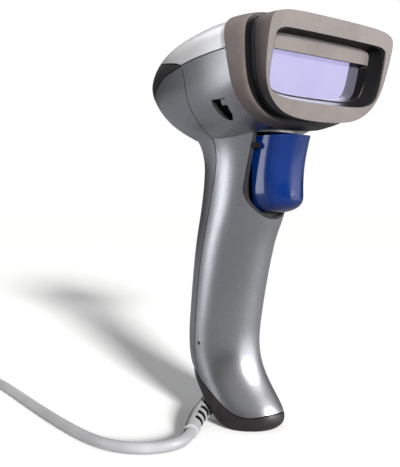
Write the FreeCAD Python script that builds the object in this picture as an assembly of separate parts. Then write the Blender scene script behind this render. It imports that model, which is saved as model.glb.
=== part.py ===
import FreeCAD, Part
import math
import os

# Handheld barcode scanner: a gun-shaped scanner that stands on the toe of its handle, with its cord.
# Millimetres. +Z is up, the nose points to -Y, and the middle plane is X = 0.
# The origin is on the flat sole under the toe.

V = FreeCAD.Vector

# ---- driving dimensions -----------------------------------------------------------------------

WALL = 2.2                 # housing shell thickness
NOSE_END = -20.8           # the housing's own front edge, inside the bumper
SEAM = 0.5                 # width of the parting lines between housing pieces
CLEAR = 0.15               # air left round a fitted piece
REACH = 60.0               # half length of a cutting block, longer than any half width
FAR = 300.0                # a length beyond the whole scanner

FACE_LEAN = 13.2           # the nose face leans forward at its top, degrees
FACE_POINT = V(0, -34.0, 142.0)    # middle of the nose face
WINDOW_DEPTH = 8.8         # from the nose face to the front of the scan window
WINDOW_THICK = 1.6

TRIGGER_HALF = 9.8         # half width of the trigger blade
TRIGGER_WALL = 1.8
TRIGGER_BACK = -2.5        # rear edge of the blade's side walls
TRIGGER_PIVOT = V(0, -6.0, 114.5)
PIN_RADIUS = 1.25
PIN_CLEAR = 0.05
OPENING_HALF = 13.0        # half width of the opening that the trigger stands in
PIN_HALF = OPENING_HALF - 0.4      # the pin ends in the surround's walls
OPENING_TOP = 119.8
OPENING_LOW = 85.5
OPENING_BACK = 2.4         # rear face of the trigger's surround

PLUNGER_HEIGHT = 98.0      # the trigger presses its switch here
PLUNGER_RADIUS = 1.2

# The slot in each side of the head, as (y, z), and the small tab that fills its front upper corner
SLOT_OUTLINE = [(0.4, 131.3), (-7.2, 131.3), (-7.2, 125.4), (-5.6, 123.5),
                (-3.4, 123.7), (-1.4, 125.8), (0.2, 129.0)]
SLOT_TAB = (-6.9, -4.2, 129.0, 131.05)     # lowest and highest y, lowest and highest z

CORD_DIAMETER = 4.5
COIL_CENTRE = V(-70, 172, 0)
COIL_RADIUS = 25.0         # middle of the coil's turns
COIL_WIDE = 3              # turns side by side
COIL_HIGH = 4              # turns on each other
TIE_THICK = 1.1
TIE_WIDTH = 9.0
TIE_ANGLE = -35.0

RELEASE_HOLE = V(-REACH, 22.6, 34.0)   # pin hole for letting the cord's plug go, in the -X side only
RELEASE_RADIUS = 0.7

SECTION_POINTS = 24        # points round a housing section

# Head sections along Y: y, half width, top, height of the widest line, bottom, upper and lower squareness
HEAD = [
    (-46, 34.0, 160.0, 151.5, 125.8, 4.2, 3.4),
    (-30, 33.6, 161.3, 151.0, 124.2, 4.0, 3.2),
    (-20, 33.3, 162.2, 150.5, 122.6, 3.7, 3.0),
    (-12, 33.0, 163.0, 150.0, 120.7, 3.4, 2.9),
    (-4, 32.3, 163.8, 149.4, 117.2, 3.1, 2.8),
    (6, 31.2, 164.1, 148.7, 113.4, 2.8, 2.6),
    (22, 28.0, 162.9, 147.4, 113.4, 2.5, 2.4),
    (36, 23.8, 160.5, 146.3, 119.0, 2.4, 2.3),
    (47, 18.6, 157.2, 144.9, 124.0, 2.2, 2.2),
    (55, 13.4, 153.7, 143.6, 130.4, 2.1, 2.1),
    (60.6, 9.0, 150.2, 143.0, 136.4, 2.0, 2.0),
    (62.7, 4.6, 147.2, 143.0, 139.8, 2.0, 2.0),
    (62.8, 1.2, 143.9, 143.0, 142.1, 2.0, 2.0),
]

# Handle sections along Z: z, half width, front, rear
HANDLE = [
    (-1, 10.6, -2.0, 25.0),
    (0.6, 13.4, -5.8, 26.0),
    (3.4, 15.0, -7.6, 28.0),
    (8, 15.2, -5.6, 29.6),
    (14, 15.2, 0.0, 31.6),
    (20, 15.3, 4.8, 34.2),
    (27, 15.3, 8.2, 36.4),
    (35, 15.3, 8.9, 37.3),
    (44, 15.2, 7.2, 37.0),
    (56, 15.1, 4.6, 36.0),
    (68, 15.1, 1.4, 34.9),
    (78, 15.1, -1.6, 33.4),
    (86, 15.1, -6.2, 31.8),
    (94, 15.2, -8.8, 30.2),
    (103, 15.4, -10.6, 28.9),
    (111, 15.9, -12.2, 28.6),
    (118, 17.4, -13.0, 31.4),
    (124, 20.0, -13.0, 36.5),
]
HANDLE_SQUARE = 2.15       # squareness of a handle section

# Seams and edges in the side view, as (y, z)
SPLIT_POINT = (19.0, 146.8)        # where top cover, front, rear and lens meet
COVER_SEAM = [(-60, 150.6), (-30, 150.0), (-11.9, 149.3), (-1.8, 148.7), (9.0, 147.9), SPLIT_POINT]
LENS_TOP = [SPLIT_POINT, (23.9, 148.2), (28.7, 149.0), (37.2, 150.3), (70, 154.0)]
LENS_LOW = [SPLIT_POINT, (23.9, 145.8), (32.0, 144.7), (36.9, 143.5), (42.2, 142.0),
            (46.4, 140.5), (51.8, 138.2), (70, 132.5)]
PARTING = [SPLIT_POINT, (17.0, 142.5), (16.4, 136.5), (15.8, 131.0), (13.3, 123.6), (11.4, 112.6),
           (13.6, 101.4), (18.1, 85.1), (22.9, 64.3), (25.1, 43.3), (24.8, 26.6), (19.0, 14.0)]
BOOT_EDGE = [(-60, 40.0), (-10, 9.0), (-2, 5.8), (4.3, 7.4), (13.6, 13.2),
             (21.4, 18.7), (34.0, 29.6), (90, 80.0)]
BOOT_REAR = 27.0
SOLE = [(5.0, 0.0), (9.0, 1.2), (13.0, 4.2), (18.5, 9.2), (23.0, 14.0), (42.0, 35.2)]
CONNECTOR_EDGE = [(46, 46.0), (36.2, 39.0), (32.2, 32.0), (28.0, 22.0), (24.0, 13.0)]
BUMPER_REAR = [(-9.0, 172.0), (-11.0, 157.0), (-13.2, 145.0),
               (-14.6, 134.0), (-15.6, 124.0), (-14.2, 110.0)]

# The nose's openings, in the face's own plane:
# depth, half width, top, height of the widest line, bottom, upper and lower squareness
OPENING = (-0.4, 32.8, 12.2, 0.0, -13.2, 9.0, 4.6)
BEZEL_BACK = (5.6, 29.4, 10.2, 0.0, -12.3, 8.0, 4.4)
WINDOW_SIGHT = (WINDOW_DEPTH - 0.4, 27.8, 5.9, 0.0, -11.7, 9.0, 5.5)
WINDOW_EDGE = (WINDOW_DEPTH, 28.6, 7.4, 0.0, -12.5, 9.0, 5.0)
WINDOW_FIT = 0.15          # the glass is this much larger than its edge line
GASKET_FIT = 0.3           # and its gasket
SEAT_FIT = 0.45            # and the seat in the frame
FRAME_RIM = 1.2
BEZEL_WALL = 1.5

# Rows of the bumper's outside: y, half width, top, widest line, bottom, upper and lower squareness
BUMPER_BAND = [
    (-8.0, 34.0, 164.0, 150.0, 118.6, 3.4, 2.9), (-12.0, 34.5, 163.9, 150.0, 119.4, 3.5, 2.9),
    (-16.0, 34.8, 163.6, 150.2, 120.2, 3.6, 3.0), (-19.0, 34.9, 163.3, 150.4, 120.8, 3.7, 3.0),
    (-21.6, 34.7, 162.9, 150.5, 121.3, 3.8, 3.1), (-22.4, 34.0, 162.4, 150.5, 121.9, 3.8, 3.1),
]
BUMPER_GROOVE = [(-21.0, 32.2, 161.8, 150.5, 123.0, 3.8, 3.1), (-27.0, 32.2, 161.2, 150.8, 123.6, 3.9, 3.2)]
BUMPER_SKIRT = [
    (-25.2, 32.6, 161.6, 150.6, 123.0, 3.9, 3.2), (-26.6, 33.3, 161.6, 150.8, 122.6, 3.9, 3.2),
    (-29.5, 34.6, 161.2, 151.0, 122.4, 4.2, 3.2), (-34.0, 35.9, 160.6, 151.2, 122.4, 4.5, 3.3),
    (-40.0, 36.7, 159.9, 151.4, 123.0, 4.8, 3.3), (-50.0, 37.2, 158.8, 151.6, 124.4, 4.8, 3.3),
]
BUMPER_HOLLOW = [(-29.5, 30.0, 157.6, 150.5, 126.6, 3.9, 3.2),
                 (NOSE_END + 0.5, 30.4, 159.4, 150.5, 125.4, 3.9, 3.2)]

TRIGGER = [   # z, half width, front, rear
    (88.2, 4.2, -9.0, 0.0), (88.7, 6.0, -12.6, 0.0), (90.2, 7.9, -15.8, 0.0), (92.6, 9.1, -17.7, 0.0),
    (95.4, 9.6, -17.3, 0.0), (100.0, TRIGGER_HALF, -17.1, 0.0), (106.0, TRIGGER_HALF, -17.6, 0.0),
    (112.0, TRIGGER_HALF, -19.0, 0.0), (117.0, TRIGGER_HALF, -20.6, 0.0), (119.4, TRIGGER_HALF, -21.4, 0.0),
]
TRIGGER_TOP = 118.4
TRIGGER_SQUARE = 2.7
BOSS_RADIUS = 3.4

ENGINE_FRONT = -15.0       # front face of the scan engine
ENGINE_HALF = 13.0
ENGINE_LOW = 132.0
ENGINE_TOP = 150.0
LENS_HEIGHT = 141.0
LENS_RADIUS = 5.0
BOARD_HEIGHT = 151.0       # underside of the main board
BOARD_THICK = 1.4
RIBBON_FRONT = 16.0
RIBBON_THICK = 0.6
RIBBON_LOW = 92.0
SWITCH_FRONT = 3.2         # front face of the trigger's switch

# The cord's route, from the strain relief over the floor to the coil, and from the coil to the plug
CORD_LOW = CORD_DIAMETER / 2 + 0.05
RELIEF_ROUTE = [V(-0.5, 21.5, 21.0), V(-1.6, 25.2, 11.0), V(-8.4, 25.8, 5.2), V(-19.6, 19.0, 4.3), V(-33.0, 7.6, 2.9)]
CORD_ROUTE = [
    V(-33.0, 7.6, 2.9), V(-39.8, 2.6, CORD_LOW), V(-48.2, -0.8, CORD_LOW), V(-57.2, 0.8, CORD_LOW),
    V(-63.8, 7.0, CORD_LOW), V(-67.0, 16.4, CORD_LOW), V(-66.8, 29.0, CORD_LOW),
    V(-63.6, 47.0, CORD_LOW), V(-58.6, 69.0, CORD_LOW), V(-52.8, 92.0, CORD_LOW),
    V(-46.2, 117.0, CORD_LOW), V(-40.6, 139.0, CORD_LOW), V(-37.4, 157.0, CORD_LOW),
    V(-37.6, 171.5, CORD_LOW), V(-41.8, 184.0, CORD_LOW), V(-48.8, 193.2, CORD_LOW + 0.3),
    V(-57.5, 198.7, CORD_LOW + TIE_THICK),
]
TAIL_ROUTE = [V(-99.5, 172.0, 3.4), V(-100.6, 162.5, 3.5), V(-99.6, 152.5, 3.8), V(-96.4, 143.5, 4.05)]
CORNER_SHARE = 0.45        # how much of a straight run its rounded corner takes
RELIEF_RINGS = 7
RING_STEPS = 10            # path points from one ring of the strain relief to the next
RELIEF_START = 4.6         # radius of the strain relief at the scanner
RELIEF_END = 3.0           # and where the bare cord leaves it
PLUG_HEIGHT = 4.05         # middle of the plug above the floor

parts = {}


def make(name, shape):
    """Keep one sub-part under its node name."""
    solids = [solid for solid in shape.Solids if solid.Volume > 0.02]
    parts[name] = solids[0] if len(solids) == 1 else Part.makeCompound(solids)


# ---- outlines and simple bodies ---------------------------------------------------------------

def spline(points):
    curve = Part.BSplineCurve()
    curve.interpolate(points)
    return curve.toShape()


def ring(points):
    """A closed smooth wire with evenly spaced knots, so that lofted sections match each other."""
    count = len(points)
    curve = Part.BSplineCurve()
    curve.buildFromPolesMultsKnots(points, [1] * (count + 1), list(range(count + 1)), True, 3)
    return Part.Wire(curve.toShape())


def power(value, exponent):
    return math.copysign(abs(value) ** exponent, value)


def oval(half, top, wide, low, up, down):
    """Points of a closed section: squarer or rounder above and below its widest line."""
    points = []
    for step in range(SECTION_POINTS):
        angle = 2 * math.pi * step / SECTION_POINTS
        across, along = math.cos(angle), math.sin(angle)
        square = up if along >= 0 else down
        reach = top - wide if along >= 0 else wide - low
        points.append((half * power(across, 2 / square), wide + reach * power(along, 2 / square)))
    return points


def standing(y, half, top, wide, low, up, down):
    """Section points in an upright plane across the scanner."""
    return [V(x, y, z) for x, z in oval(half, top, wide, low, up, down)]


def level(z, half, front, rear, square):
    """Section points in a level plane."""
    middle = (front + rear) / 2
    return [V(x, y, z) for x, y in oval(half, rear, middle, front, square, square)]


def skin(sections):
    """A solid with one smooth surface drawn through sections of equal point counts, and flat ends."""
    around = len(sections[0])
    along = len(sections)
    poles = [[section[i] for section in sections] for i in range(around)]
    surface = Part.BSplineSurface()
    surface.buildFromPolesMultsKnots(
        poles, [1] * (around + 1), [4] + [1] * (along - 4) + [4],
        list(range(around + 1)), list(range(along - 2)), True, False, 3, 3)
    ends = [Part.Face(ring(sections[0])), Part.Face(ring(sections[-1]))]
    closed = Part.Shell([surface.toShape()] + ends)
    closed.sewShape()
    solid = Part.Solid(closed)
    if solid.Volume < 0:
        solid.reverse()
    return solid


def straight(section_a, section_b):
    """A solid with straight sides between two sections."""
    return Part.makeLoft([ring(section_a), ring(section_b)], True, True)


def box(x0, x1, y0, y1, z0, z1):
    return Part.makeBox(x1 - x0, y1 - y0, z1 - z0, V(x0, y0, z0))


def rod(radius, start, end):
    return Part.makeCylinder(radius, (end - start).Length, start, end - start)


def soft_box(x0, x1, y0, y1, z0, z1, radius):
    body = box(x0, x1, y0, y1, z0, z1)
    return body.makeFillet(radius, body.Edges)


def side_block(edges):
    """A block with the given outline in the side view, right through the scanner."""
    face = Part.Face(Part.Wire(Part.__sortEdges__(edges)))
    return face.extrude(V(2 * REACH, 0, 0))


def side_curve(points, shift_y=0.0, shift_z=0.0):
    return spline([V(-REACH, y + shift_y, z + shift_z) for y, z in points])


def side_lines(points):
    corners = [V(-REACH, y, z) for y, z in points]
    return [Part.LineSegment(a, b).toShape() for a, b in zip(corners, corners[1:])]


def on_nose(shape):
    """Turn a shape drawn round the face's own middle, Y inwards, into the leaning nose."""
    shape.rotate(V(0, 0, 0), V(1, 0, 0), FACE_LEAN)
    shape.translate(FACE_POINT)
    return shape


def nose_skin(stations):
    return on_nose(skin([standing(*station) for station in stations]))


def nose_taper(front, back):
    return on_nose(straight(standing(*front), standing(*back)))


# ---- the outer form ---------------------------------------------------------------------------

def head(inset):
    sections = []
    for y, half, top, wide, low, up, down in HEAD:
        back = inset if y > 0 else 0.0
        sections.append(standing(y - back, half - inset, top - inset, wide, low + inset, up, down))
    return skin(sections)


def handle(inset):
    sections = []
    for z, half, front, rear in HANDLE:
        sections.append(level(z, half - inset, front + inset, rear - inset, HANDLE_SQUARE))
    return skin(sections)


def below_sole():
    """Everything under the flat toe and the slanted rear of the foot."""
    low = -20
    back = (SOLE[-1][0] + 40, SOLE[-1][1])
    edges = [side_curve(SOLE)]
    edges += side_lines([SOLE[-1], back, (back[0], low), (-40, low), (-40, 0), SOLE[0]])
    return side_block(edges)


def front_of(points, shift):
    """The side-view block in front of a falling curve, moved back or forth by a shift in Y."""
    top, low = points[0], points[-1]
    edges = [side_curve(points, shift_y=shift)]
    edges += side_lines([(low[0] + shift, low[1]), (-FAR, low[1]), (-FAR, top[1]), (top[0] + shift, top[1])])
    return side_block(edges)


def above(points, shift):
    """The side-view block above a curve that runs from the nose to the rear."""
    first, last = points[0], points[-1]
    edges = [side_curve(points, shift_z=shift)]
    edges += side_lines([(last[0], last[1] + shift), (last[0], FAR), (first[0], FAR), (first[0], first[1] + shift)])
    return side_block(edges)


# ---- nose: bumper, bezel and window -----------------------------------------------------------

def bumper_form():
    """Outside of the rubber bumper: a rear band, a groove, and a skirt that flares to the face."""
    band = skin([standing(*row) for row in BUMPER_BAND])
    groove = straight(*[standing(*row) for row in BUMPER_GROOVE])
    skirt = skin([standing(*row) for row in BUMPER_SKIRT])
    return band.fuse([groove, skirt])


def nose_slab(depth):
    """Everything in front of a plane that lies this deep behind the nose face."""
    return on_nose(box(-REACH, REACH, -FAR, depth, -REACH, REACH))


def grown(section, growth, depth_shift=0.0):
    depth, half, top, wide, low, up, down = section
    return (depth + depth_shift, half + growth, top + growth, wide, low - growth, up, down)


def at_depth(section, depth):
    return (depth,) + section[1:]


bezel_outside = nose_taper(grown(OPENING, BEZEL_WALL, -1.6), grown(BEZEL_BACK, BEZEL_WALL))
bezel_inside = nose_taper(at_depth(grown(OPENING, 0.6), -2.4), grown(BEZEL_BACK, -0.1, 0.2))
mouth = nose_slab(0.8)
make("scan_bezel", bezel_outside.cut(bezel_inside).cut(mouth))

bezel_seat = nose_taper(grown(OPENING, BEZEL_WALL + CLEAR, -1.6), grown(BEZEL_BACK, BEZEL_WALL + CLEAR))
bumper = bumper_form().cut(nose_slab(0.0))
bumper = bumper.cut(bezel_seat.cut(nose_slab(0.8 - CLEAR)))
bumper = bumper.cut(nose_taper(at_depth(OPENING, -2.0), at_depth(OPENING, 2.0)))
housing_nose = skin([standing(y, half + CLEAR, top + CLEAR, wide, low - CLEAR, up, down)
                     for y, half, top, wide, low, up, down in HEAD])
bumper = bumper.cut(housing_nose.common(box(-REACH, REACH, NOSE_END - CLEAR, FAR, 0, FAR)))
bumper = bumper.cut(straight(*[standing(*row) for row in BUMPER_HOLLOW]))
bumper = bumper.common(front_of(BUMPER_REAR, 0))

frame_front = grown(BEZEL_BACK, BEZEL_WALL - 0.3, 0.15)
frame_rear = grown(WINDOW_EDGE, FRAME_RIM, 1.9)
frame_seat = nose_taper(grown(frame_front, CLEAR, -0.1), grown(frame_rear, CLEAR, CLEAR))
make("nose_bumper", bumper.cut(frame_seat))

window_frame = nose_taper(frame_front, frame_rear)
window_frame = window_frame.cut(nose_taper(grown(BEZEL_BACK, -0.5, -0.3), WINDOW_SIGHT))
glass_seat = nose_taper(grown(WINDOW_EDGE, SEAT_FIT, -0.6), grown(WINDOW_EDGE, SEAT_FIT, 4.0))
window_frame = window_frame.cut(glass_seat)
sight_hole = nose_taper(at_depth(WINDOW_SIGHT, WINDOW_DEPTH - 2.0), at_depth(WINDOW_SIGHT, WINDOW_DEPTH))
make("window_frame", window_frame.cut(sight_hole))

gasket = nose_taper(grown(WINDOW_EDGE, GASKET_FIT, -0.5), grown(WINDOW_EDGE, GASKET_FIT))
gasket_hole = nose_taper(grown(at_depth(WINDOW_SIGHT, WINDOW_DEPTH - 1.0), 0.2),
                         grown(at_depth(WINDOW_SIGHT, WINDOW_DEPTH + 1.0), 0.2))
make("window_gasket", gasket.cut(gasket_hole))
make("scan_window", nose_taper(grown(WINDOW_EDGE, WINDOW_FIT), grown(WINDOW_EDGE, WINDOW_FIT, WINDOW_THICK)))

# ---- housing pieces ---------------------------------------------------------------------------

def slot_prism(growth, x0, x1):
    """The side slots' outline, grown all round, right across the head between two planes of X."""
    corners = [V(x0, y, z) for y, z in SLOT_OUTLINE]
    outline = Part.makePolygon(corners + corners[:1])
    if growth:
        outline = outline.makeOffset2D(growth)
    return Part.Face(outline).extrude(V(x1 - x0, 0, 0))


def trigger_prism(half, low, y0, y1, top=OPENING_TOP):
    """A U-shaped block: straight sides above a half-round bottom that is a little taller than wide."""
    rise = low + 0.92 * half + 1.5
    arc = Part.Arc(V(-half, y0, rise), V(0, y0, low), V(half, y0, rise)).toShape()
    corners = [V(half, y0, rise), V(half, y0, top), V(-half, y0, top), V(-half, y0, rise)]
    lines = [Part.LineSegment(a, b).toShape() for a, b in zip(corners, corners[1:])]
    return Part.Face(Part.Wire([arc] + lines)).extrude(V(0, y1 - y0, 0))


outer = head(0).fuse(handle(0)).cut(below_sole())
inner = head(WALL).fuse(handle(WALL))
shell = outer.cut(inner).common(above(BOOT_EDGE, SEAM / 2))
shell = shell.cut(box(-REACH, REACH, -FAR, NOSE_END, 0, FAR))
shell = shell.cut(trigger_prism(OPENING_HALF, OPENING_LOW, -FAR / 2, 6.0))
shell = shell.cut(slot_prism(0, -REACH, REACH))
shell = shell.cut(rod(RELEASE_RADIUS, RELEASE_HOLE, RELEASE_HOLE + V(REACH, 0, 0)))

parting_low = PARTING[-1][1]
behind_split = box(-REACH, REACH, SPLIT_POINT[0], FAR, 0, FAR)
before_split = box(-REACH, REACH, -FAR, SPLIT_POINT[0], 0, FAR)
cover_zone = above(COVER_SEAM, SEAM / 2).common(before_split)
cover_zone = cover_zone.fuse(above(LENS_TOP, SEAM / 2).common(behind_split))
make("top_cover", shell.common(cover_zone))

lens_zone = above(LENS_LOW, SEAM / 2).cut(above(LENS_TOP, -SEAM / 2))
make("rear_lens", shell.common(lens_zone).common(box(-REACH, REACH, SPLIT_POINT[0] + 1.5, FAR, 0, FAR)))

front_zone = front_of(PARTING, -SEAM / 2).fuse(box(-REACH, REACH, -FAR, PARTING[-1][0], 0, parting_low))
front_zone = front_zone.fuse(box(-REACH, REACH, -FAR, SPLIT_POINT[0] - SEAM / 2, SPLIT_POINT[1] - SEAM, FAR))
make("front_housing", shell.common(front_zone).cut(above(COVER_SEAM, -SEAM / 2)))

connector_block = box(-REACH, REACH, 18.0, FAR, 10.0, CONNECTOR_EDGE[0][1])
rear_zone = box(-REACH, REACH, 5.0, FAR, parting_low, SPLIT_POINT[1] - SEAM).cut(front_of(PARTING, SEAM / 2))
rear_zone = rear_zone.cut(above(LENS_LOW, -SEAM / 2).common(behind_split))
rear_zone = rear_zone.cut(connector_block.cut(front_of(CONNECTOR_EDGE, -SEAM / 2)))
make("rear_housing", shell.common(rear_zone))
make("connector_shell", shell.common(connector_block.cut(front_of(CONNECTOR_EDGE, SEAM / 2))))
make("foot_boot", outer.cut(above(BOOT_EDGE, -SEAM / 2)).common(box(-REACH, REACH, -FAR, BOOT_REAR, -1, FAR)))

# ---- trigger and its switch -------------------------------------------------------------------


def blade(inset):
    sections = []
    for z, half, front, rear in TRIGGER:
        back = rear + 6.0 + 2 * inset
        sections.append(level(z + inset * 0.6, half - inset, front + inset, back, TRIGGER_SQUARE))
    return skin(sections)


def across(radius, half, centre=TRIGGER_PIVOT):
    """A cylinder across the scanner through the trigger's pivot."""
    return rod(radius, centre - V(half, 0, 0), centre + V(half, 0, 0))


ear_inner = TRIGGER_HALF - TRIGGER_WALL - 2.2
trigger = blade(0).cut(blade(TRIGGER_WALL))
trigger = trigger.common(box(-REACH, REACH, -FAR, TRIGGER_BACK, 0, TRIGGER_TOP))
hub = across(BOSS_RADIUS, TRIGGER_HALF - 0.4).cut(across(BOSS_RADIUS + 1, ear_inner))
web = box(-TRIGGER_HALF + 0.4, TRIGGER_HALF - 0.4, -16.5, TRIGGER_PIVOT.y,
          TRIGGER_PIVOT.z - 2.4, TRIGGER_PIVOT.z + 2.4)
web = web.cut(box(-ear_inner, ear_inner, -FAR, FAR, 0, FAR)).common(blade(0.2))
nub = box(-2.2, 2.2, -16.4, -1.2, PLUNGER_HEIGHT - 2.0, PLUNGER_HEIGHT + 2.0).common(blade(0.6))
trigger = trigger.fuse([hub, web, nub]).cut(across(PIN_RADIUS + PIN_CLEAR, REACH))
make("trigger", trigger)
make("trigger_pin", across(PIN_RADIUS, PIN_HALF))

surround = trigger_prism(OPENING_HALF - CLEAR, OPENING_LOW + CLEAR, -16.0, OPENING_BACK, OPENING_TOP - CLEAR)
hollow = trigger_prism(OPENING_HALF - 1.1, OPENING_LOW + 1.0, -FAR, OPENING_BACK - 1.2, OPENING_TOP + 1.0)
trimmed = handle(0.3).fuse(head(0.3))
surround = surround.common(trimmed).cut(hollow)
surround = surround.cut(box(-3.4, 3.4, -1, 4, PLUNGER_HEIGHT - 3.0, PLUNGER_HEIGHT + 3.0))
surround = surround.cut(across(PIN_RADIUS, REACH))
make("trigger_surround", surround)

spring_mean = BOSS_RADIUS - 0.4
spring_end = 1.6
turns = []
for place in (-1.0, -0.5, 0.0, 0.5, 1.0):
    turns.append(Part.makeTorus(spring_mean, 0.35, TRIGGER_PIVOT + V(place * spring_end, 0, 0), V(1, 0, 0)))
spring_top = TRIGGER_PIVOT + V(0, 0, spring_mean)
spring_leg = TRIGGER_PIVOT + V(spring_end, -spring_mean, 0)
spring = turns[0].fuse(turns[1:])
spring = spring.fuse(rod(0.45, spring_top - V(spring_end, 0, 0), spring_top + V(spring_end, 0, 0)))
spring = spring.fuse(rod(0.4, spring_leg, spring_leg - V(0, 0, 10.0)))
make("trigger_spring", spring)

switch_rear = SWITCH_FRONT + 5.6
plunger_tip = V(0, -0.95, PLUNGER_HEIGHT)
make("switch_plunger", rod(PLUNGER_RADIUS, plunger_tip, V(0, SWITCH_FRONT + 2.6, PLUNGER_HEIGHT)))
switch = box(-3.8, 3.8, SWITCH_FRONT, switch_rear, PLUNGER_HEIGHT - 4.2, PLUNGER_HEIGHT + 4.2)
bore_end = V(0, SWITCH_FRONT + 4.4, PLUNGER_HEIGHT)
make("trigger_switch", switch.cut(rod(PLUNGER_RADIUS + PIN_CLEAR, V(0, 0, PLUNGER_HEIGHT), bore_end)))
make("switch_board", box(-6.5, 6.5, switch_rear, switch_rear + 1.2, PLUNGER_HEIGHT - 9, PLUNGER_HEIGHT + 9))

# ---- side slots -------------------------------------------------------------------------------

for side, word in ((-1, "right"), (1, "left")):
    half_space = box(min(0, side * REACH), max(0, side * REACH), -FAR, FAR, 0, FAR)
    plate = slot_prism(1.5, -28.5, 28.5).common(head(WALL + 0.1)).cut(head(WALL + 1.3)).common(half_space)
    make("sounder_grille_" + word, plate.cut(trigger_prism(OPENING_HALF + 0.4, OPENING_LOW, -FAR / 2, 6.2)))
    tab = box(-REACH, REACH, *SLOT_TAB).common(head(0.5)).cut(head(WALL + 0.1)).common(half_space)
    make("slot_tab_" + word, tab)

sounder_at = V(-19.6, -3.6, 131.6)
make("sounder", rod(6.0, sounder_at, sounder_at + V(2.6, 0, 0)))

# ---- scan engine and boards -------------------------------------------------------------------

lens_middle = V(0, ENGINE_FRONT, LENS_HEIGHT)
engine = box(-ENGINE_HALF, ENGINE_HALF, ENGINE_FRONT, 4, ENGINE_LOW, ENGINE_TOP)
lens_bore = rod(LENS_RADIUS + PIN_CLEAR, lens_middle - V(0, 5, 0), lens_middle + V(0, 4, 0))
make("engine_body", engine.cut(lens_bore))
make("engine_lens", rod(LENS_RADIUS, lens_middle - V(0, 1.6, 0), lens_middle + V(0, 4, 0)))
lamps = [rod(2.3, lens_middle + V(x, -1.2, 0), lens_middle + V(x, 0, 0)) for x in (-9.2, 9.2)]
make("engine_lamps", Part.makeCompound(lamps))
make("engine_aimer", rod(1.4, lens_middle + V(5.4, -1.0, -6.4), lens_middle + V(5.4, 0, -6.4)))
bracket = box(-15.2, 15.2, ENGINE_FRONT + 1, 6, ENGINE_LOW - 1.4, ENGINE_LOW)
screws = []
for side in (-1, 1):
    near, away = sorted((side * ENGINE_HALF, side * (ENGINE_HALF + 1.4)))
    bracket = bracket.fuse(box(near, away, ENGINE_FRONT + 3, 3, ENGINE_LOW - 1, 146))
    bearing = V(side * (ENGINE_HALF + 1.4), -6, 139)
    screws.append(rod(1.9, bearing, bearing + V(side * 1.4, 0, 0)))
make("engine_bracket", bracket)
make("engine_screws", Part.makeCompound(screws))

board_top = BOARD_HEIGHT + BOARD_THICK
make("main_board", box(-16, 16, -6, 32, BOARD_HEIGHT, board_top))
chips = [box(-7, 7, 2, 16, board_top, board_top + 1.5), box(-9, -2, 19, 26, board_top, board_top + 1.2),
         box(2, 9, 19, 29, board_top, board_top + 1.1), box(-10, 10, -3, -1, board_top, board_top + 2.0)]
make("board_chips", Part.makeCompound(chips))
screws = []
for x, y in ((-13, -2), (13, -2), (-13, 28.5), (13, 28.5)):
    screws.append(rod(2.2, V(x, y, board_top), V(x, y, board_top + 1.4)))
make("board_screws", Part.makeCompound(screws))
make("handle_board", box(-6.6, 6.6, 19.0, 20.4, 40, 92))
make("cord_jack", box(-7, 7, 16.5, 27.5, 24.0, 38.0).cut(box(-5, 5, 18, 26, 20, 36.5)))
make("ribbon_cable", box(-6, 6, RIBBON_FRONT, RIBBON_FRONT + RIBBON_THICK, RIBBON_LOW, BOARD_HEIGHT))

housing_screws = []
for x, y, z in ((-9.7, 21, 58), (9.7, 21, 58), (-20, 18, 139), (20, 18, 139)):
    shank = rod(1.4, V(x, y - 6, z), V(x, y, z))
    housing_screws.append(shank.fuse(rod(2.6, V(x, y, z), V(x, y + 2, z))))
make("housing_screws", Part.makeCompound(housing_screws))

# ---- strain relief, cord, coil and plug -------------------------------------------------------

def rounded(route):
    """Straight runs joined by tangent arcs, each as large as its two runs allow."""
    edges = []
    start = route[0]
    for before, corner, after in zip(route, route[1:], route[2:]):
        into = corner - before
        out = after - corner
        half_turn = into.getAngle(out) / 2
        run = CORNER_SHARE * min(into.Length, out.Length)
        radius = run / math.tan(half_turn)
        into.normalize()
        out.normalize()
        toward = (out - into).normalize()
        middle = corner + toward * (radius / math.cos(half_turn) - radius)
        leave = corner + out * run
        edges.append(Part.LineSegment(start, corner - into * run).toShape())
        edges.append(Part.Arc(corner - into * run, middle, leave).toShape())
        start = leave
    edges.append(Part.LineSegment(start, route[-1]).toShape())
    return Part.Wire(edges)


def tube(path, route, radius):
    section = Part.Wire(Part.makeCircle(radius, route[0], route[1] - route[0]))
    return path.makePipeShell([section], True, False)


relief_path = rounded(RELIEF_ROUTE)
marks = relief_path.discretize(Number=RELIEF_RINGS * RING_STEPS + 1)
relief = tube(relief_path, RELIEF_ROUTE, CORD_DIAMETER / 2 + 0.5)
taper = (RELIEF_END - RELIEF_START) / RELIEF_RINGS
for index in range(RELIEF_RINGS):
    last = index == RELIEF_RINGS - 1
    start = marks[index * RING_STEPS]
    end = marks[index * RING_STEPS + (RING_STEPS if last else RING_STEPS - 3)]
    wide = RELIEF_START + taper * index
    narrow = RELIEF_START + taper * (index + 0.7)
    relief = relief.fuse(Part.makeCone(wide, narrow, (end - start).Length, start, end - start))
make("strain_relief", relief.removeSplitter())
socket = rod(RELIEF_START + 0.3, RELIEF_ROUTE[0], RELIEF_ROUTE[1])
parts["foot_boot"] = parts["foot_boot"].cut(socket)
parts["connector_shell"] = parts["connector_shell"].cut(socket)
make("modular_plug", box(-4.8, 4.8, 18.2, 25.8, 23.6, 34.0))

make("cord", tube(rounded(CORD_ROUTE), CORD_ROUTE, CORD_DIAMETER / 2))
make("cord_tail", tube(rounded(TAIL_ROUTE), TAIL_ROUTE, CORD_DIAMETER / 2))

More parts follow.
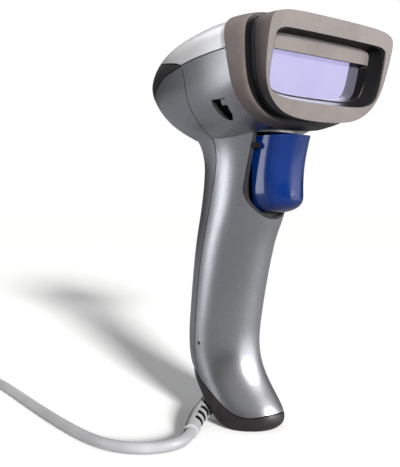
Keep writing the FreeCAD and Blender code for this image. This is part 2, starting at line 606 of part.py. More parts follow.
half_wide = COIL_WIDE * CORD_DIAMETER / 2
coil_top = TIE_THICK + COIL_HIGH * CORD_DIAMETER
coil_inner = COIL_RADIUS - half_wide
coil_outer = COIL_RADIUS + half_wide
corners = [V(coil_inner, 0, TIE_THICK), V(coil_outer, 0, TIE_THICK),
           V(coil_outer, 0, coil_top), V(coil_inner, 0, coil_top)]
coil = Part.Face(Part.makePolygon(corners + corners[:1])).revolve(V(0, 0, 0), V(0, 0, 1), 360)
rims = [edge for edge in coil.Edges if edge.Curve.TypeId == "Part::GeomCircle"]
coil = coil.makeFillet(CORD_DIAMETER / 2 - 0.1, rims)
tie = box(coil_inner - TIE_THICK, coil_outer + TIE_THICK, -TIE_WIDTH / 2, TIE_WIDTH / 2, 0, coil_top + TIE_THICK)
tie = tie.makeFillet(1.0, [edge for edge in tie.Edges if abs(edge.Length - TIE_WIDTH) < 0.01]).cut(coil)
tie.rotate(V(0, 0, 0), V(0, 0, 1), TIE_ANGLE)
coil.translate(COIL_CENTRE)
tie.translate(COIL_CENTRE)
make("cord_coil", coil)
make("coil_tie", tie)

plug_way = TAIL_ROUTE[-1] - TAIL_ROUTE[-2]
plug_turn = math.degrees(math.atan2(plug_way.y, plug_way.x))


def on_plug(shape):
    """Turn and move a shape drawn along +X from the cord's end."""
    shape.rotate(V(0, 0, 0), V(0, 0, 1), plug_turn)
    shape.translate(V(TAIL_ROUTE[-1].x, TAIL_ROUTE[-1].y, PLUG_HEIGHT))
    return shape


neck = 9.0
grip_end = neck + 24.0
shell_end = grip_end + 12.0
make("plug_relief", on_plug(Part.makeCone(2.7, 3.5, neck, V(0, 0, 0), V(1, 0, 0))))
make("plug_grip", on_plug(soft_box(neck, grip_end, -7.8, 7.8, -4.0, 4.0, 1.8)))
plug_shell = box(grip_end, shell_end, -6.0, 6.0, -2.25, 2.25)
plug_shell = plug_shell.cut(box(grip_end + 1.0, shell_end + 1.0, -5.6, 5.6, -1.85, 1.85))
make("plug_shell", on_plug(plug_shell))
make("plug_tongue", on_plug(box(grip_end + 1.0, shell_end - 0.6, -5.5, 5.5, -1.75, 0.1)))

os.makedirs("parts", exist_ok=True)
for name, shape in parts.items():
    shape.exportStep("parts/" + name + ".step")
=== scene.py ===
import math
import bmesh
import bpy
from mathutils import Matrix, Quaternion, Vector


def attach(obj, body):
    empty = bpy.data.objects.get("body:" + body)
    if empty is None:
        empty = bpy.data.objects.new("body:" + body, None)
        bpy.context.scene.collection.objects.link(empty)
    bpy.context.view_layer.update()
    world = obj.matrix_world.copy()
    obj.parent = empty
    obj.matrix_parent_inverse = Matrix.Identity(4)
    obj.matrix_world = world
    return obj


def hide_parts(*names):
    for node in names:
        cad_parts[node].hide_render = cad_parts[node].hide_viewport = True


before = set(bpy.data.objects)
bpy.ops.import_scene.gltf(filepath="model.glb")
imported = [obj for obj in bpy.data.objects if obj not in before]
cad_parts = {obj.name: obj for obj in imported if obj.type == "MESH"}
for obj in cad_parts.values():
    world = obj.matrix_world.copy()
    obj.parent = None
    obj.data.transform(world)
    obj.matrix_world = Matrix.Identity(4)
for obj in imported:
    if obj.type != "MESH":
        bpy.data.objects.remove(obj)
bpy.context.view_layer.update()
print("loaded", len(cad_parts), "nodes")


# shader maths: wraps one output socket, so that expressions add Math nodes
class Value:
    def __init__(self, tree, socket):
        self.tree = tree
        self.socket = socket

    def maths(self, operation, first, second=None):
        node = self.tree.nodes.new("ShaderNodeMath")
        node.operation = operation
        connect(self.tree, node.inputs[0], first)
        if second is not None:
            connect(self.tree, node.inputs[1], second)
        return Value(self.tree, node.outputs[0])

    def __add__(self, other):
        return self.maths("ADD", self, other)

    def __radd__(self, other):
        return self.maths("ADD", other, self)

    def __sub__(self, other):
        return self.maths("SUBTRACT", self, other)

    def __rsub__(self, other):
        return self.maths("SUBTRACT", other, self)

    def __mul__(self, other):
        return self.maths("MULTIPLY", self, other)

    def __rmul__(self, other):
        return self.maths("MULTIPLY", other, self)

    def above(self, level, soft):
        return self.node("ShaderNodeMapRange", {"interpolation_type": "SMOOTHSTEP"},
                         {"Value": self, "From Min": level - soft, "From Max": level + soft})

    def node(self, kind, settings=None, sockets=None, output=0):
        return addNode(self.tree, kind, settings, sockets, output)


def connect(tree, socket, value):
    if isinstance(value, Value):
        tree.links.new(value.socket, socket)
    elif isinstance(value, (tuple, list)) and len(value) == 3 and socket.type == "RGBA":
        socket.default_value = (*value, 1.0)
    else:
        socket.default_value = value


# any node: its settings first, then its socket values or links
def addNode(tree, kind, settings=None, sockets=None, output=0):
    node = tree.nodes.new(kind)
    for name, setting in (settings or {}).items():
        if name == "stops":
            ramp = node.color_ramp
            while len(ramp.elements) < len(setting):
                ramp.elements.new(0.5)
            for element, (place, colour) in zip(ramp.elements, setting):
                element.position = place
                element.color = (*colour, 1.0)
        else:
            setattr(node, name, setting)
    for name, value in (sockets or {}).items():
        connect(tree, node.inputs[name], value)
    return Value(tree, node.outputs[output])


class Finish:
    def __init__(self, name):
        self.material = bpy.data.materials.new(name)
        self.material.use_nodes = True
        self.tree = self.material.node_tree
        self.tree.nodes.clear()
        self.place = self.node("ShaderNodeTexCoord", output=3)

    def node(self, kind, settings=None, sockets=None, output=0):
        return addNode(self.tree, kind, settings, sockets, output)

    def noise(self, scale, detail=3.0, stretch=None, rough=0.55):
        place = self.place
        if stretch:
            place = self.node("ShaderNodeVectorMath", {"operation": "MULTIPLY"}, {0: place, 1: stretch})
        return self.node("ShaderNodeTexNoise", None,
                         {"Vector": place, "Scale": scale, "Detail": detail, "Roughness": rough})

    def cells(self, scale, feature="F1", output=0):
        return self.node("ShaderNodeTexVoronoi", {"feature": feature},
                         {"Vector": self.place, "Scale": scale}, output)

    def mix(self, share, first, second):
        return self.node("ShaderNodeMix", {"data_type": "RGBA"}, {0: share, 6: first, 7: second}, 2)

    def bump(self, height, strength, distance, under=None):
        sockets = {"Height": height, "Strength": strength, "Distance": distance}
        if under is not None:
            sockets["Normal"] = under
        return self.node("ShaderNodeBump", None, sockets)

    def height(self):
        return self.node("ShaderNodeSeparateXYZ", None, {0: self.place}, 2)

    def surface(self, sockets):
        shader = self.tree.nodes.new("ShaderNodeBsdfPrincipled")
        for name, value in sockets.items():
            connect(self.tree, shader.inputs[name], value)
        last = self.tree.nodes.new("ShaderNodeOutputMaterial")
        self.tree.links.new(shader.outputs[0], last.inputs[0])
        return self.material


# camera
cameraChoices = {"place": (-0.2542, -0.2381, 0.0892), "turn": -42.6, "down": 1.57, "lens": 65.83}


def makeCamera(choices):
    data = bpy.data.cameras.new("camera")
    data.lens = choices["lens"]
    data.sensor_width = 36.0
    data.clip_start = 0.01
    camera = bpy.data.objects.new("camera", data)
    camera.location = choices["place"]
    camera.rotation_euler = (math.radians(90 - choices["down"]), 0, math.radians(choices["turn"]))
    bpy.context.scene.collection.objects.link(camera)
    bpy.context.scene.camera = camera
    print("camera at", choices["place"])


makeCamera(cameraChoices)


def addPiece(name, data, body="housing"):
    piece = bpy.data.objects.new(name, data)
    bpy.context.scene.collection.objects.link(piece)
    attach(piece, body)
    return piece


# cord vinyl: light grey, faintly pebbled, with fine darker specks
def cordVinyl():
    finish = Finish("cordVinyl")
    broad = finish.noise(60.0, 2.0)
    fine = finish.noise(2600.0, 2.0)
    colour = finish.mix(broad.above(0.55, 0.25), (0.17, 0.17, 0.18), (0.23, 0.23, 0.24))
    colour = finish.mix(fine.above(0.62, 0.08) * 0.25, colour, (0.12, 0.12, 0.13))
    return finish.surface({
        "Base Color": colour,
        "Roughness": 0.38 + broad * 0.16,
        "Normal": finish.bump(fine, 0.18, 0.0004),
        "Sheen Weight": 0.15,
        "Coat Weight": 0.12,
    })


# near-black painted shade for the slot faces of the strain relief
def paintedSlotShade():
    finish = Finish("paintedSlotShade")
    grain = finish.noise(900.0, 3.0)
    return finish.surface({
        "Base Color": finish.mix(grain, (0.002, 0.002, 0.002), (0.005, 0.005, 0.005)),
        "Roughness": 0.7 + grain * 0.2,
        "Specular IOR Level": 0.05,
    })


materials = {"cordVinyl": cordVinyl(), "paintedSlotShade": paintedSlotShade()}

# the cord: over the floor, round the put-away coil and out to its plug
cordChoices = {
    "diameter": 0.0045,
    "way": [
        (-0.0330, 0.0076, 0.0029), (-0.0398, 0.0026, 0.00235), (-0.0482, -0.0008, 0.00235),
        (-0.0572, 0.0008, 0.00235), (-0.0638, 0.0070, 0.00235), (-0.0670, 0.0164, 0.00235),
        (-0.0668, 0.0290, 0.00235), (-0.0636, 0.0470, 0.00235), (-0.0586, 0.0690, 0.00235),
        (-0.0528, 0.0920, 0.00235), (-0.0462, 0.1170, 0.00235), (-0.0406, 0.1390, 0.00235),
        (-0.0374, 0.1570, 0.00235), (-0.0376, 0.1715, 0.00235), (-0.0418, 0.1840, 0.00235),
    ],
    "tail": [(-0.1036, 0.1650, 0.0037), (-0.1018, 0.1545, 0.0037), (-0.0964, 0.1435, 0.00405)],
    "coilMiddle": (-0.070, 0.172),
    "turnRadii": (0.0205, 0.0250, 0.0295),
    "layers": (0.00335, 0.00785, 0.01235, 0.01685),
    # place of each turn: column from the inside, layer from the floor
    "turns": [(2, 0), (1, 0), (0, 0), (0, 1), (1, 1), (1, 2), (0, 2), (1, 3), (2, 3), (2, 2), (2, 1)],
    "pointsPerTurn": 16,
    "enterAt": 65.0,         # degrees round the coil
    "leaveAt": 150.0,
    "crossFrom": 300.0,      # each turn crosses over to the next in its last sixth
    "wander": 0.00012,       # the turns are not quite round
    "wanderWaves": 2.3,
}


def coilPoints(choices):
    points = []
    perTurn = choices["pointsPerTurn"]
    reach = 1 / math.cos(math.pi / perTurn)    # control points lie a little outside the turn
    stations = []
    for turn, (column, layer) in enumerate(choices["turns"]):
        stations.append((turn * 360.0, choices["turnRadii"][column], choices["layers"][layer]))
    crossFrom = choices["crossFrom"]
    last = choices["leaveAt"] - choices["enterAt"] + 360.0 * len(stations)
    total = int(last / 360 * perTurn)
    for step in range(total + 1):
        turned = step * 360.0 / perTurn
        index = min(int(turned // 360), len(stations) - 1)
        along = turned - stations[index][0]
        radius, height = stations[index][1:]
        if index + 1 < len(stations) and along > crossFrom:
            share = (along - crossFrom) / (360 - crossFrom)
            share = share * share * (3 - 2 * share)
            radius += (stations[index + 1][1] - radius) * share
            height += (stations[index + 1][2] - height) * share
        angle = math.radians(choices["enterAt"] + turned)
        wave = math.sin(choices["wanderWaves"] * math.radians(turned) + index)
        away = radius * reach + choices["wander"] * wave
        x = choices["coilMiddle"][0] + away * math.cos(angle)
        y = choices["coilMiddle"][1] + away * math.sin(angle)
        points.append((x, y, height))
    return points


def nurbs(name, points, radius, material):
    curve = bpy.data.curves.new(name, "CURVE")
    curve.dimensions = "3D"
    spline = curve.splines.new("NURBS")
    spline.points.add(len(points) - 1)
    for point, place in zip(spline.points, points):
        point.co = (*place, 1.0)
    spline.order_u = 3
    spline.use_endpoint_u = True
    spline.resolution_u = 5
    curve.bevel_depth = radius
    curve.bevel_resolution = 5
    curve.use_fill_caps = True
    curve.materials.append(material)
    return curve


def splineLine(curve):
    bare = curve.copy()
    bare.bevel_depth = 0.0
    holder = bpy.data.objects.new("line", bare)
    mesh = bpy.data.meshes.new_from_object(holder)
    line = [vertex.co.copy() for vertex in mesh.vertices]
    bpy.data.objects.remove(holder)
    bpy.data.meshes.remove(mesh)
    bpy.data.curves.remove(bare)
    return line


def lineLength(line):
    return sum((b - a).length for a, b in zip(line, line[1:]))


def makeCord(choices):
    points = choices["way"] + coilPoints(choices) + choices["tail"]
    curve = nurbs("cordLine", points, choices["diameter"] / 2, materials["cordVinyl"])
    length = lineLength(splineLine(curve))
    piece = addPiece("cordLine", curve)
    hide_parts("cord", "cord_coil", "cord_tail")
    print("cord length", round(length, 3))
    return piece, length


cordPiece, cordLength = makeCord(cordChoices)

# strain relief: a tapered sleeve with cross slots, from the foot to the bare cord
sleeveChoices = {
    "way": [(-0.0005, 0.0215, 0.0210), (-0.0016, 0.0252, 0.0110), (-0.0084, 0.0258, 0.0052),
            (-0.0196, 0.0190, 0.0043), (-0.0330, 0.0076, 0.0029)],
    "startRadius": 0.0046,
    "endRadius": 0.0029,
    "slotDepth": 0.0015,
    "slots": 8,
    "slotTurn": 0.60,        # where round the sleeve the slots lie, in radians
    "slotHalfAngle": 0.70,
    "slotFrom": 4,           # first and last deep ring of a slot
    "slotTo": 8,
    "ringsPerSlot": 12,
    "collar": 0.0004,
    "collarShare": 1 / 14,   # how far the collar at the foot reaches
    "around": 32,
}


def evenly(line, count):
    marks = [0.0]
    for a, b in zip(line, line[1:]):
        marks.append(marks[-1] + (b - a).length)
    places, segment = [], 0
    for step in range(count):
        goal = marks[-1] * step / (count - 1)
        while segment < len(marks) - 2 and marks[segment + 1] < goal:
            segment += 1
        share = (goal - marks[segment]) / max(marks[segment + 1] - marks[segment], 1e-9)
        places.append(line[segment].lerp(line[segment + 1], min(share, 1.0)))
    return places


def makeSleeve(choices):
    line = splineLine(nurbs("sleeveWay", choices["way"], 0.001, materials["cordVinyl"]))
    perSlot = choices["ringsPerSlot"]
    count = choices["slots"] * perSlot + 1
    places = evenly(line, count)
    mesh = bmesh.new()
    side = Vector((1, 0, 0))
    rings = []
    for index, place in enumerate(places):
        ahead = places[min(index + 1, count - 1)] - places[max(index - 1, 0)]
        ahead.normalize()
        side = (side - ahead * side.dot(ahead)).normalized()    # carried along, so that nothing twists
        up = ahead.cross(side)
        share = index / (count - 1)
        radius = choices["startRadius"] + (choices["endRadius"] - choices["startRadius"]) * share ** 0.9
        radius += choices["collar"] * max(0.0, 1 - share / choices["collarShare"])
        slot, within = divmod(index, perSlot)
        ringVerts = []
        for step in range(choices["around"]):
            angle = 2 * math.pi * step / choices["around"]
            deep = slotDepthAt(slot, within, angle, choices)
            reach = radius - deep * choices["slotDepth"]
            outward = side * math.cos(angle) + up * math.sin(angle)
            ringVerts.append((mesh.verts.new(place + outward * reach), deep))
        rings.append(ringVerts)
    for first, second in zip(rings, rings[1:]):
        for step in range(choices["around"]):
            follow = (step + 1) % choices["around"]
            corners = [first[step], first[follow], second[follow], second[step]]
            face = mesh.faces.new([corner[0] for corner in corners])
            face.smooth = True
            # slot faces take the second finish, the near-black painted shade
            face.material_index = 1 if max(corner[1] for corner in corners) > 0.5 else 0
    for ringVerts in (rings[0][::-1], rings[-1]):
        mesh.faces.new([vert for vert, deep in ringVerts])
    data = bpy.data.meshes.new("reliefSleeve")
    mesh.to_mesh(data)
    mesh.free()
    data.materials.append(materials["cordVinyl"])
    data.materials.append(materials["paintedSlotShade"])
    piece = addPiece("reliefSleeve", data)
    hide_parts("strain_relief")
    print("strain relief with", choices["slots"], "slots")
    return piece


def slotDepthAt(slot, within, angle, choices):
    if slot in (0, choices["slots"] - 1) or not choices["slotFrom"] <= within <= choices["slotTo"]:
        return 0.0
    turned = (angle - choices["slotTurn"]) % math.pi
    return 1.0 if abs(turned - math.pi / 2) < choices["slotHalfAngle"] else 0.0


sleevePiece = makeSleeve(sleeveChoices)


# metallic silver paint: fine flake, slow colour change, streaky scuffs that are rougher and less coated
def silverPaint(name, dark, light, rough, metal):
    finish = Finish(name)
    flake = finish.cells(5200.0, output=0)
    tone = finish.noise(1500.0, 3.0)
    broad = finish.noise(22.0, 3.0)
    scuffs = finish.noise(90.0, 6.0, (1.0, 1.0, 4.0)).above(0.68, 0.05)
    colour = finish.mix(broad.above(0.5, 0.35), dark, light)
    colour = finish.mix(tone.above(0.56, 0.14) * 0.22, colour, (0.80, 0.81, 0.83))
    colour = finish.mix((1 - flake * 1.4).above(0.62, 0.2) * 0.18, colour, (0.30, 0.31, 0.33))
    return finish.surface({
        "Base Color": colour,
        "Metallic": metal + tone * 0.08,
        "Roughness": rough + broad * 0.07 + scuffs * 0.05,
        "Normal": finish.bump(tone + flake * 0.5, 0.10, 0.0002),
        "Coat Weight": 0.35 - scuffs * 0.1,
        "Coat Roughness": 0.12,
    })


# soft rubber: fine grain, with lighter dusty patches
def softRubber(name, dark, light, rough, grain, paintedShadeFrom=None, paintedShadeTo=None):
    finish = Finish(name)
    fine = finish.noise(grain, 4.0)
    pits = finish.cells(grain * 1.3, output=0)
    broad = finish.noise(35.0, 3.0)
    dust = finish.noise(160.0, 5.0).above(0.62, 0.12)
    colour = finish.mix(broad.above(0.5, 0.3), dark, light)
    colour = finish.mix(dust * 0.22, colour, tuple(min(1.0, part * 1.7 + 0.006) for part in light))
    if paintedShadeFrom is not None:       # painted shade: the groove between band and skirt is painted black at its bottom
        depth = finish.node("ShaderNodeSeparateXYZ", None, {0: finish.place}, 1)
        paintedGrooveShade = depth.above(paintedShadeFrom, 0.0002) * (1 - depth.above(paintedShadeTo, 0.0002))
        colour = finish.mix(paintedGrooveShade, colour, (0.004, 0.004, 0.004))
    return finish.surface({
        "Base Color": colour,
        "Roughness": rough + fine * 0.16 + dust * 0.06,
        "Normal": finish.bump(fine + pits * 0.6, 0.22, 0.0003),
        "Specular IOR Level": 0.45,
    })


# moulded plastic with a spark-eroded grain
def mouldedPlastic(name, dark, light, rough, grain=1600.0, strength=0.15, coat=0.0, shine=0.4):
    finish = Finish(name)
    fine = finish.noise(grain, 4.0)
    broad = finish.noise(40.0, 2.0)
    return finish.surface({
        "Base Color": finish.mix(broad.above(0.5, 0.3), dark, light),
        "Roughness": rough + fine * 0.12,
        "Specular IOR Level": shine,
        "Normal": finish.bump(fine, strength, 0.0003),
        "Coat Weight": coat,
        "Coat Roughness": 0.08,
    })


# window frame: black, with a brown strip above the glass
frameChoices = {
    "stripFrom": 0.1462,
    "black": (0.004, 0.004, 0.0045),
    "brown": (0.011, 0.008, 0.007),
    "paleBrown": (0.020, 0.015, 0.014),
    "rough": 0.42,
}


def twoToneFrame(choices):
    finish = Finish("framePlastic")
    fine = finish.noise(1600.0, 4.0)
    upper = finish.height().above(choices["stripFrom"], 0.0004)
    strip = finish.mix(fine, choices["brown"], choices["paleBrown"])
    return finish.surface({
        "Base Color": finish.mix(upper, choices["black"], strip),
        "Roughness": choices["rough"] + fine * 0.12,
        "Specular IOR Level": 0.15,
        "Normal": finish.bump(fine, 0.15, 0.0003),
    })


# trigger: clear-over-blue gloss with hairline scratches
triggerChoices = {"dark": (0.0004, 0.0070, 0.050), "light": (0.0008, 0.012, 0.078),
                  "scratch": (0.12, 0.18, 0.50), "rough": 0.16, "coat": 0.6}


def triggerGloss(choices):
    finish = Finish("triggerGloss")
    broad = finish.noise(45.0, 2.0)
    hair = finish.noise(700.0, 2.0, (1.0, 1.0, 0.08)).above(0.70, 0.04)
    ripple = finish.noise(120.0, 2.0)
    colour = finish.mix(broad.above(0.5, 0.3), choices["dark"], choices["light"])
    colour = finish.mix(hair * 0.08, colour, choices["scratch"])
    return finish.surface({
        "Base Color": colour,
        "Roughness": choices["rough"] + hair * 0.12 + broad * 0.05,
        "Normal": finish.bump(ripple, 0.03, 0.001),
        "Coat Weight": choices["coat"],
        "Coat Roughness": 0.04,
        "Specular IOR Level": 0.4,
    })


# coated scan window: pale violet mirror film over clear glass
windowChoices = {"violet": (0.56, 0.53, 0.78), "blue": (0.66, 0.66, 0.84), "mirror": 0.92, "rough": 0.035}


def coatedWindow(choices):
    finish = Finish("coatedWindow")
    drift = finish.noise(26.0, 2.0)
    specks = finish.noise(900.0, 2.0).above(0.74, 0.02)
    film = finish.mix(drift.above(0.5, 0.35), choices["violet"], choices["blue"])
    return finish.surface({
        "Base Color": finish.mix(specks * 0.3, film, (0.5, 0.5, 0.5)),
        "Metallic": choices["mirror"],
        "Roughness": choices["rough"] + specks * 0.2 + drift * 0.02,
        "Coat Weight": 0.5,
        "Coat Roughness": 0.02,
    })


# rear lens: dark smoked plastic, scuffed
def smokedLens():
    finish = Finish("smokedLens")
    drift = finish.noise(30.0, 2.0)
    scuffs = finish.noise(150.0, 5.0, (1.0, 3.0, 1.0)).above(0.66, 0.05)
    return finish.surface({
        "Base Color": finish.mix(drift, (0.020, 0.018, 0.020), (0.045, 0.041, 0.045)),
        "Roughness": 0.10 + scuffs * 0.18,
        "Coat Weight": 0.8,
        "Coat Roughness": 0.04,
    })


def brightSteel():
    finish = Finish("brightSteel")
    lines = finish.noise(500.0, 4.0, (1.0, 1.0, 12.0))
    broad = finish.noise(60.0, 2.0)
    return finish.surface({
        "Base Color": finish.mix(broad, (0.50, 0.50, 0.51), (0.66, 0.66, 0.67)),
        "Metallic": 1.0,
        "Roughness": 0.22 + lines * 0.16,
        "Normal": finish.bump(lines, 0.08, 0.0002),
    })


def lensGlass():
    finish = Finish("lensGlass")
    drift = finish.noise(200.0, 2.0)
    return finish.surface({
        "Base Color": finish.mix(drift, (0.05, 0.05, 0.10), (0.12, 0.10, 0.22)),
        "Roughness": 0.04 + drift * 0.03,
        "Coat Weight": 1.0,
        "Coat Roughness": 0.02,
    })


def clearLamp():
    finish = Finish("clearLamp")
    drift = finish.noise(300.0, 2.0)
    return finish.surface({
        "Base Color": finish.mix(drift, (0.75, 0.30, 0.26), (0.90, 0.50, 0.44)),
        "Roughness": 0.08 + drift * 0.08,
        "Coat Weight": 0.8,
        "Coat Roughness": 0.03,
    })


def circuitMask():
    finish = Finish("circuitMask")
    fine = finish.noise(1200.0, 2.0)
    traces = finish.cells(420.0, "DISTANCE_TO_EDGE").above(0.10, 0.03)
    return finish.surface({
        "Base Color": finish.mix(traces, (0.02, 0.20, 0.09), (0.01, 0.11, 0.05)),
        "Roughness": 0.34 + fine * 0.1,
        "Normal": finish.bump(traces, 0.2, 0.0002),
        "Coat Weight": 0.3,
    })


def ribbonFilm():
    finish = Finish("ribbonFilm")
    tracks = finish.node("ShaderNodeTexWave", {"wave_type": "BANDS", "bands_direction": "X"},
                         {"Vector": finish.place, "Scale": 260.0, "Distortion": 0.0}, 1)
    return finish.surface({
        "Base Color": finish.mix(tracks.above(0.5, 0.2), (0.40, 0.17, 0.03), (0.62, 0.30, 0.08)),
        "Roughness": 0.28 + tracks * 0.08,
        "Coat Weight": 0.3,
    })


# woven hook-and-loop strap
def strapWeave():
    finish = Finish("strapWeave")
    loops = finish.cells(1500.0)
    broad = finish.noise(120.0, 3.0)
    return finish.surface({
        "Base Color": finish.mix(loops.above(0.45, 0.3), (0.035, 0.035, 0.037), (0.010, 0.010, 0.011)),
        "Roughness": 0.82 + broad * 0.12,
        "Normal": finish.bump(1 - loops, 0.7, 0.0005),
        "Sheen Weight": 0.4,
    })


# dark and light tone, roughness and what else each finish takes
paintChoices = {
    "silverPaint": {"dark": (0.40, 0.405, 0.425), "light": (0.48, 0.485, 0.505), "rough": 0.29, "metal": 0.93},
    "coverPaint": {"dark": (0.62, 0.62, 0.63), "light": (0.72, 0.72, 0.73), "rough": 0.36, "metal": 0.55},
}
rubberChoices = {
    # the bumper's last two values bound, along y, the groove that is painted black as shade
    "bumperRubber": {"dark": (0.070, 0.058, 0.054), "light": (0.098, 0.083, 0.078), "rough": 0.46,
                     "grain": 1300.0, "paintedShadeFrom": -0.0262, "paintedShadeTo": -0.0222},
    "bootRubber": {"dark": (0.008, 0.006, 0.007), "light": (0.014, 0.011, 0.012), "rough": 0.26,
                   "grain": 1500.0},
    "gasketRubber": {"dark": (0.010, 0.010, 0.010), "light": (0.02, 0.02, 0.02), "rough": 0.6,
                     "grain": 1500.0},
}
plasticChoices = {
    "blackPlastic": {"dark": (0.0035, 0.0035, 0.004), "light": (0.007, 0.0065, 0.007), "rough": 0.42,
                     "shine": 0.12},
    "surroundPlastic": {"dark": (0.010, 0.010, 0.011), "light": (0.016, 0.015, 0.017), "rough": 0.24,
                        "coat": 0.3, "shine": 0.5},
    "shellPlastic": {"dark": (0.15, 0.154, 0.162), "light": (0.19, 0.194, 0.202), "rough": 0.36,
                     "grain": 1900.0, "strength": 0.12, "coat": 0.2},
    "chipPlastic": {"dark": (0.015, 0.015, 0.016), "light": (0.03, 0.03, 0.03), "rough": 0.5},
    "plugVinyl": {"dark": (0.15, 0.15, 0.158), "light": (0.20, 0.20, 0.208), "rough": 0.42,
                  "grain": 1500.0, "strength": 0.2, "coat": 0.1},
}


def makeFinishes():
    tables = ((silverPaint, paintChoices), (softRubber, rubberChoices), (mouldedPlastic, plasticChoices))
    for maker, table in tables:
        for name, choices in table.items():
            materials[name] = maker(name, **choices)
    materials["framePlastic"] = twoToneFrame(frameChoices)
    materials["triggerGloss"] = triggerGloss(triggerChoices)
    materials["coatedWindow"] = coatedWindow(windowChoices)
    for maker in (smokedLens, brightSteel, lensGlass, clearLamp, circuitMask, ribbonFilm, strapWeave):
        materials[maker.__name__] = maker()
    print("made", len(materials), "finishes")


makeFinishes()

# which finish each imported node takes
nodeFinishes = {
    "silverPaint": ["front_housing", "rear_housing", "slot_tab_right", "slot_tab_left"],
    "coverPaint": ["top_cover"],
    "shellPlastic": ["connector_shell"],
    "bumperRubber": ["nose_bumper"],
    "bootRubber": ["foot_boot"],
    "gasketRubber": ["window_gasket"],
    "surroundPlastic": ["trigger_surround"],
    "blackPlastic": ["scan_bezel", "sounder_grille_right", "sounder_grille_left",
                     "engine_body", "cord_jack", "trigger_pin"],
    "framePlastic": ["window_frame"],
    "coatedWindow": ["scan_window"],
    "smokedLens": ["rear_lens"],
    "triggerGloss": ["trigger"],
    "brightSteel": ["trigger_spring", "sounder", "engine_bracket", "engine_screws",
                    "board_screws", "housing_screws", "plug_shell"],
    "chipPlastic": ["switch_plunger", "trigger_switch", "board_chips", "plug_tongue"],
    "circuitMask": ["switch_board", "main_board", "handle_board"],
    "lensGlass": ["engine_lens", "engine_aimer", "modular_plug"],
    "clearLamp": ["engine_lamps"],
    "ribbonFilm": ["ribbon_cable"],
    "cordVinyl": ["cord", "cord_coil", "cord_tail", "strain_relief"],
    "plugVinyl": ["plug_relief", "plug_grip"],
    "strapWeave": ["coil_tie"],
}


def paintNodes():
    painted = set()
    for finish, names in nodeFinishes.items():
        for name in names:
            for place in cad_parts[name].material_slots:
                place.material = materials[finish]
            painted.add(name)
    print("painted", len(painted), "nodes; left over:", sorted(set(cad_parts) - painted))


paintNodes()

# floor and light
stageChoices = {
    "floorSize": 12.0,
    "floorHeight": -0.0002,
    "floorColour": (0.90, 0.905, 0.91),
    "floorBounce": (0.25, 0.26, 0.28),     # what the floor sends back to the object
    "floorLift": 0.08,       # its own glow, seen by the camera only
    "skySeen": 1.05,
    "skyTop": 0.34,          # soft light from above
    "skySide": 0.04,         # and from the dark sides of the room
    # toward the light, strength, angle across it, colour
    "sun": ((-0.433, -0.874, 0.2215), 11.8, 8.0, (1.0, 0.985, 0.965)),
    "card": {"place": (0.340, -0.311, 0.079), "toward": (-0.757, 0.637, 0.140), "roll": -11.0,
             "size": (0.15, 0.11), "paper": (0.72, 0.70, 0.86), "glow": 1.0},
    # name, place, aimed at, size, power, colour
    "lights": [
        ("overhead", (-0.15, 0.50, 0.95), (-0.15, 0.30, 0.0), (0.9, 1.3), 4.5, (0.97, 0.98, 1.0)),
        ("leftPanel", (-0.62, 0.50, 0.24), (0.0, 0.0, 0.10), (0.24, 0.7), 1.9, (0.95, 0.97, 1.0)),
        ("rightPanel", (0.58, -0.62, 0.20), (0.0, 0.0, 0.08), (0.36, 0.8), 15.0, (1.0, 0.99, 0.98)),
    ],
}


def addSun(toward, strength, angle, colour):
    light = bpy.data.lights.new("key", "SUN")
    light.energy = strength
    light.angle = math.radians(angle)
    light.color = colour
    lamp = bpy.data.objects.new("key", light)
    lamp.rotation_euler = Vector(toward).to_track_quat("Z", "Y").to_euler()
    lamp.visible_glossy = False      # the panels draw the reflections
    bpy.context.scene.collection.objects.link(lamp)


def addLight(name, place, aim, size, power, colour):
    light = bpy.data.lights.new(name, "AREA")
    light.shape = "RECTANGLE"
    light.size, light.size_y = size
    light.energy = power
    light.color = colour
    lamp = bpy.data.objects.new(name, light)
    lamp.location = place
    lamp.rotation_euler = (Vector(aim) - Vector(place)).to_track_quat("-Z", "Y").to_euler()
    lamp.visible_diffuse = False     # reflections only
    bpy.context.scene.collection.objects.link(lamp)


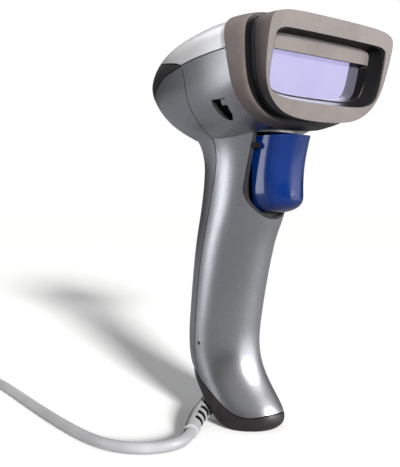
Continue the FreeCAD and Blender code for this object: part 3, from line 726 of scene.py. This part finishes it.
def makeFloor(choices):
    mesh = bmesh.new()
    bmesh.ops.create_grid(mesh, x_segments=8, y_segments=8, size=choices["floorSize"])
    data = bpy.data.meshes.new("floor")
    mesh.to_mesh(data)
    mesh.free()
    floor = bpy.data.objects.new("floor", data)
    floor.location.z = choices["floorHeight"]
    bpy.context.scene.collection.objects.link(floor)
    finish = Finish("paleFloor")
    grain = finish.noise(30.0, 3.0)
    seen = finish.node("ShaderNodeLightPath")
    tone = finish.mix(grain, choices["floorColour"], tuple(part * 0.99 for part in choices["floorColour"]))
    data.materials.append(finish.surface({
        "Base Color": finish.mix(seen, choices["floorBounce"], tone),
        "Emission Color": finish.mix(seen, (0.0, 0.0, 0.0), choices["floorColour"]),
        "Emission Strength": choices["floorLift"],
        "Roughness": 0.7,
        "Specular IOR Level": 0.1,
    }))


def makeSky(choices):
    world = bpy.data.worlds.new("sky")
    world.use_nodes = True
    bpy.context.scene.world = world
    tree = world.node_tree
    tree.nodes.clear()
    seen = addNode(tree, "ShaderNodeLightPath")
    way = addNode(tree, "ShaderNodeTexCoord")
    height = addNode(tree, "ShaderNodeSeparateXYZ", None, {0: way}, 2)
    top = addNode(tree, "ShaderNodeMapRange", {"interpolation_type": "SMOOTHSTEP"},
                  {"Value": height, "From Min": 0.1, "From Max": 0.75,
                   "To Min": choices["skySide"], "To Max": choices["skyTop"]})
    strength = seen * choices["skySeen"] + (1 - seen) * top
    back = addNode(tree, "ShaderNodeBackground", None, {"Color": (1.0, 1.0, 1.0), "Strength": strength})
    last = tree.nodes.new("ShaderNodeOutputWorld")
    tree.links.new(back.socket, last.inputs[0])


# plain pale card, seen only as a reflection in the window
def makeCard(choices):
    across, along = choices["size"]
    data = bpy.data.meshes.new("card")
    data.from_pydata([(-across, -along, 0), (across, -along, 0), (across, along, 0), (-across, along, 0)],
                     [], [(0, 1, 2, 3)])
    card = bpy.data.objects.new("card", data)
    card.location = choices["place"]
    card.rotation_euler = (Vector(choices["toward"]).to_track_quat("Z", "Y")
                           @ Quaternion((0, 0, 1), math.radians(choices["roll"]))).to_euler()
    bpy.context.scene.collection.objects.link(card)
    finish = Finish("card")
    data.materials.append(finish.surface({
        "Base Color": (0.0, 0.0, 0.0),
        "Specular IOR Level": 0.0,
        "Emission Color": choices["paper"],
        "Emission Strength": choices["glow"],
    }))
    card.visible_camera = False
    card.visible_diffuse = False
    card.visible_shadow = False


def makeStage(choices):
    makeFloor(choices)
    makeCard(choices["card"])
    addSun(*choices["sun"])
    for row in choices["lights"]:
        addLight(*row)
    makeSky(choices)
    bpy.context.scene.view_settings.view_transform = "Standard"
    print("stage with", len(choices["lights"]), "lights")


makeStage(stageChoices)
